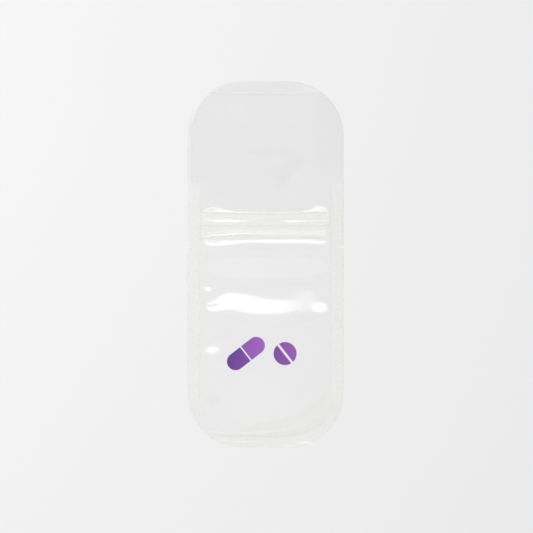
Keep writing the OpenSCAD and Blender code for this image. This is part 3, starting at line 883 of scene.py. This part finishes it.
def makeBottomWeld():
    # columns across, rows from the pouch's outline up to the chamber's edge
    x = np.linspace(-innerX, innerX, 153)
    v = np.linspace(0, 1, 44)
    xx, vv = np.meshgrid(x, v)
    outer, inner = outlineEnd(xx) + 0.03, curve(xx, chamberEnd) - 0.02
    yy = outer + (inner - outer) * vv
    zz = weldZ - meltRise + meltRise * bell((vv - 0.98) / 0.1)
    for crease in bottom["creases"]:
        run = fadeAlong(xx, crease["fade"])
        wide = crease["wide"] * (0.3 + 0.7 * run)
        t = (yy - curve(xx, crease["along"])) / wide
        ridge = np.clip(t + 0.5, 0, 1) - smooth((t - 0.5) / 4)
        zz = zz + bottom["creaseSlope"] * wide * ridge * smooth(run * 4)
    warm = bottom["warm"] + tone(xx, yy, bottom["warms"], 1.0)
    # painted shade along the outline, stronger to the right, and a little where the band is warm
    shade = tone(xx, yy, bottom["shades"]) + rimTone(xx, yy, 0.0, bottom["rimShade"])
    shade = shade + bottom["warmShade"] * warm
    obj = slabMesh("bottomWeld", xx, yy, zz, filmT,
                   {"shade": shade, "warm": warm, "frostAndPaintedLight": bottom["frostAndPaintedLight"] + 0 * xx})
    coat(obj, weldFilm)
    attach(obj, "back")
    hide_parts("bottom_weld")


makeBottomWeld()
print("welds made")

# painted light: a lighter band along the lower track
ribPaintedLight = [
    {"levels": 5.0, "soft": 0.6, "half": 0.75, "fade": (-20, -13, 20, 22),
     "along": [(-22, 10.9), (-12, 11.3), (0, 11.1), (22, 10.9)]},
]
zipRib = {"strip": 0.2, "stem": 0.35, "head": 0.95, "barb": 0.4, "columns": 161, "rows": 46,
          "warm": 0.5}


def makeZipRib(name, node, low, high):
    # the strip's closed section is carried along X: its upper face follows the front film
    # that it is fused to, and under its middle hangs the arrow-headed rib
    centre, half = (low[1] + high[1]) / 2, (high[1] - low[1]) / 2
    stem, head = zipRib["stem"] / 2, zipRib["head"] / 2
    top = centre + half * np.linspace(-1, 1, zipRib["rows"])
    side = zipRib["rows"] // 2 - 3
    under = centre + np.concatenate([
        np.linspace(half, stem, side), [stem, head, stem, -stem, -head, -stem],
        np.linspace(-stem, -half, side)])
    tip, barb = low[2], low[2] + zipRib["barb"]
    baseZ = high[2] - zipRib["strip"]
    flat = np.full(side, baseZ)
    underZ = np.concatenate([flat, [barb, barb, tip, tip, barb, barb], flat])
    xs = np.linspace(low[0], high[0], zipRib["columns"])
    xx, yy = np.meshgrid(xs, np.concatenate([top, under]))
    zz = np.repeat(np.concatenate([top, underZ])[:, None], len(xs), 1)
    rows = len(top)
    cover = frontHeight(xx[:rows], yy[:rows]) - filmT - 0.04
    zz[:rows] = np.clip(cover, baseZ + 0.03, high[2] + 0.2)
    frostAndPaintedLight = tone(xx, yy, ribPaintedLight, paintedLightStep)
    obj = tubeMesh(name, xx, yy, zz, {
        "shade": 0 * xx, "warm": zipRib["warm"] + 0 * xx, "frostAndPaintedLight": frostAndPaintedLight})
    coat(obj, zipPlastic)
    followMouth(obj)
    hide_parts(node)


makeZipRib("upperZipRib", "upper_zip_rib", upperLow, upperHigh)
makeZipRib("lowerZipRib", "lower_zip_rib", lowerLow, lowerHigh)
for node in ("upper_zip_jaws", "lower_zip_jaws"):
    nodes[node].data.materials.clear()
    coat(nodes[node], zipPlastic)


# painted shade in the pinch between the tracks, and darker toward the top
crush = {"square": 0.45, "pinch": 0.35, "pinchShade": 0.012, "topShade": 0.006, "warm": 0.3}


def makeCrush(name, node):
    # a flattened bean where the zip is melted down: an oval, cos and sin to a power, whose
    # size shrinks towards its top, pinched between the two tracks
    low, high = boxMm(node)
    aa, vv = np.meshgrid(np.linspace(0, 2 * np.pi, 49)[:-1], np.linspace(0, 1, 17))
    centre, half = (low + high) / 2, (high - low) / 2
    size = np.sqrt(np.clip(1 - (vv * 0.98) ** 3, 0, 1))
    cx, cy = np.cos(aa), np.sin(aa)
    xx = centre[0] + half[0] * size * np.sign(cx) * np.abs(cx) ** crush["square"]
    yy = centre[1] + half[1] * size * np.sign(cy) * np.abs(cy) ** crush["square"]
    pinch = 1 - crush["pinch"] * bell((yy - centre[1]) / 0.7)
    zz = low[2] + (high[2] - low[2]) * vv * pinch
    # painted shade in the pinch between the tracks, and darker toward the top
    shade = crush["pinchShade"] * bell((yy - centre[1]) / 0.5) + crush["topShade"] * vv
    xx, yy, zz, shade = [g.T[:, ::-1] for g in (xx, yy, zz, shade)]
    obj = tubeMesh(name, xx, yy, zz, {
        "shade": shade, "warm": crush["warm"] + 0 * xx, "frostAndPaintedLight": 0 * xx})
    coat(obj, zipPlastic)
    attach(obj, "back")
    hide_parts(node)


makeCrush("leftZipCrush", "left_zip_crush")
makeCrush("rightZipCrush", "right_zip_crush")
print("zip made")

printLook = {"turn": 38.0, "capsuleLength": 15.0, "capsuleWidth": 6.0, "ink": 0.03,
             "capsuleGap": 0.5, "score": 0.8,
             "capsuleRuns": [(0.0, 0.3), (0.55, 0.9)], "tabletRuns": [(0.3, 0.5), (0.5, 0.75)]}


def printPatch(middle, cuts, lanes):
    # cuts along the patch (distance, half width) and lanes across it, turned about its
    # middle and laid on the film's height
    cut = np.array(cuts)
    uu, vv = np.meshgrid(cut[:, 0], lanes)
    ww = vv * cut[None, :, 1]
    c, s = math.cos(math.radians(printLook["turn"])), math.sin(math.radians(printLook["turn"]))
    xx, yy = middle[0] + uu * c - ww * s, middle[1] + uu * s + ww * c
    return xx, yy, frontHeight(xx, yy) + printLook["ink"]


def halfCapsule(sign):
    # half width of one end of a capsule along its length, with cuts crowded at its round end
    r = printLook["capsuleWidth"] / 2
    straight = (printLook["capsuleLength"] - 2 * r) / 2
    a = np.linspace(0, np.pi / 2, 17)
    end = np.stack([straight + r * np.cos(a), np.maximum(r * np.sin(a), 0.02)], -1)[::-1]
    u = np.linspace(printLook["capsuleGap"] / 2, straight, 14)[:-1]
    cuts = np.vstack([np.stack([u, np.full(len(u), r)], -1), end])
    return cuts if sign > 0 else cuts[::-1] * [-1, 1]


def halfTablet(sign, r):
    # half width of one half of a scored round tablet
    u = np.maximum(r * np.cos(np.linspace(np.pi / 2 - 0.1, 0.0, 18)), printLook["score"] / 2)
    cuts = np.stack([u, np.maximum(np.sqrt(np.maximum(r * r - u * u, 0)), 0.02)], -1)
    return cuts if sign > 0 else cuts[::-1] * [-1, 1]


def printPiece(name, node, middle, cuts, run):
    # the ink's tone runs evenly from run[0] at the left to run[1] at the right
    xx, yy, zz = printPatch(middle, cuts, np.linspace(-1, 1, 17))
    along = (xx - xx.min()) / (xx.max() - xx.min())
    obj = slabMesh(name, xx, yy, zz, printLook["ink"], {"run": run[0] + (run[1] - run[0]) * along})
    coat(obj, ink)
    followMouth(obj)
    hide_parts(node)


def makePrint():
    low, high = boxMm("capsule_print")
    middle, runs = (low + high) / 2, printLook["capsuleRuns"]
    printPiece("capsulePrintA", "capsule_print", middle, halfCapsule(-1), runs[0])
    printPiece("capsulePrintB", "capsule_print", middle, halfCapsule(1), runs[1])
    low, high = boxMm("tablet_print")
    middle, runs = (low + high) / 2, printLook["tabletRuns"]
    r = (high[0] - low[0]) / 2
    printPiece("tabletPrintA", "tablet_print", middle, halfTablet(-1, r), runs[0])
    printPiece("tabletPrintB", "tablet_print", middle, halfTablet(1, r), runs[1])


makePrint()
print("print made")

room = {
    "worldStrength": 0.868, "floorPale": (0.80, 0.80, 0.80), "floorPaler": (0.808, 0.808, 0.806),
    "lampTilt": 39.0, "lampSize": (0.24, 2.3), "lampRadiance": 3.4,
    "keyPlace": (-0.46, 0.2, 0.56), "keySize": (0.3, 0.3), "keyRadiance": 6.1,
    "cameraPlace": (0.00035, -0.0007, 1.2), "viewWidth": 0.18415,
}


def makeFloor():
    # a flat square slab just below the pouch
    x = np.linspace(-1500, 1500, 3)
    xx, yy = np.meshgrid(x, x)
    floor = slabMesh("floor", xx, yy, 0 * xx - 0.02, 5.0)
    mat, add, link = nodeTools("paleFloor")
    body = add("ShaderNodeBsdfPrincipled", Roughness=0.7)
    body.inputs["Specular IOR Level"].default_value = 0.0
    place = add("ShaderNodeTexCoord")
    cloud = add("ShaderNodeTexNoise", Scale=9.0)
    link(place.outputs["Object"], cloud.inputs["Vector"])
    mixed = add("ShaderNodeMix", data_type="RGBA")
    mixed.inputs["A"].default_value = (*room["floorPale"], 1)
    mixed.inputs["B"].default_value = (*room["floorPaler"], 1)
    link(cloud.outputs["Fac"], mixed.inputs["Factor"])
    link(mixed.outputs["Result"], body.inputs["Base Color"])
    out = add("ShaderNodeOutputMaterial")
    link(body.outputs[0], out.inputs["Surface"])
    floor.data.materials.append(mat)


def addPanel(name, place, size, radiance):
    # an area lamp facing the pouch; radiance is watts per square metre and steradian
    data = bpy.data.lights.new(name, "AREA")
    data.shape = "RECTANGLE"
    data.size, data.size_y = size
    data.energy = radiance * math.pi * size[0] * size[1]
    lamp = bpy.data.objects.new(name, data)
    scene.collection.objects.link(lamp)
    lamp.location = place
    lamp.rotation_mode = "QUATERNION"
    lamp.rotation_quaternion = Vector(place).to_track_quat("Z", "X")
    lamp.visible_camera = False
    return lamp


def makeRoom():
    world = bpy.data.worlds.new("studio")
    world.use_nodes = True
    shell = world.node_tree.nodes["Background"]
    shell.inputs["Color"].default_value = (1, 1, 1, 1)
    shell.inputs["Strength"].default_value = room["worldStrength"]
    scene.world = world
    tilt = math.radians(room["lampTilt"])
    for name, side in (("lampTop", 1), ("lampFoot", -1)):
        place = (0, side * math.sin(tilt), math.cos(tilt))
        lamp = addPanel(name, place, room["lampSize"], room["lampRadiance"])
        lamp.visible_diffuse = False     # it only shows in glossy faces
    key = addPanel("key", room["keyPlace"], room["keySize"], room["keyRadiance"])
    key.visible_glossy = False           # it only lights


def makeCamera():
    data = bpy.data.cameras.new("camera")
    data.sensor_width = 36
    data.lens = data.sensor_width * room["cameraPlace"][2] / room["viewWidth"]
    data.clip_end = 20
    cam = bpy.data.objects.new("camera", data)
    scene.collection.objects.link(cam)
    cam.location = room["cameraPlace"]
    cam.rotation_euler = (0, 0, 0)
    scene.camera = cam


makeFloor()
makeRoom()
makeCamera()
scene.view_settings.view_transform = "Standard"
scene.cycles.transparent_max_bounces = 48
scene.cycles.caustics_reflective = False
print("room made")

bpy.context.view_layer.update()
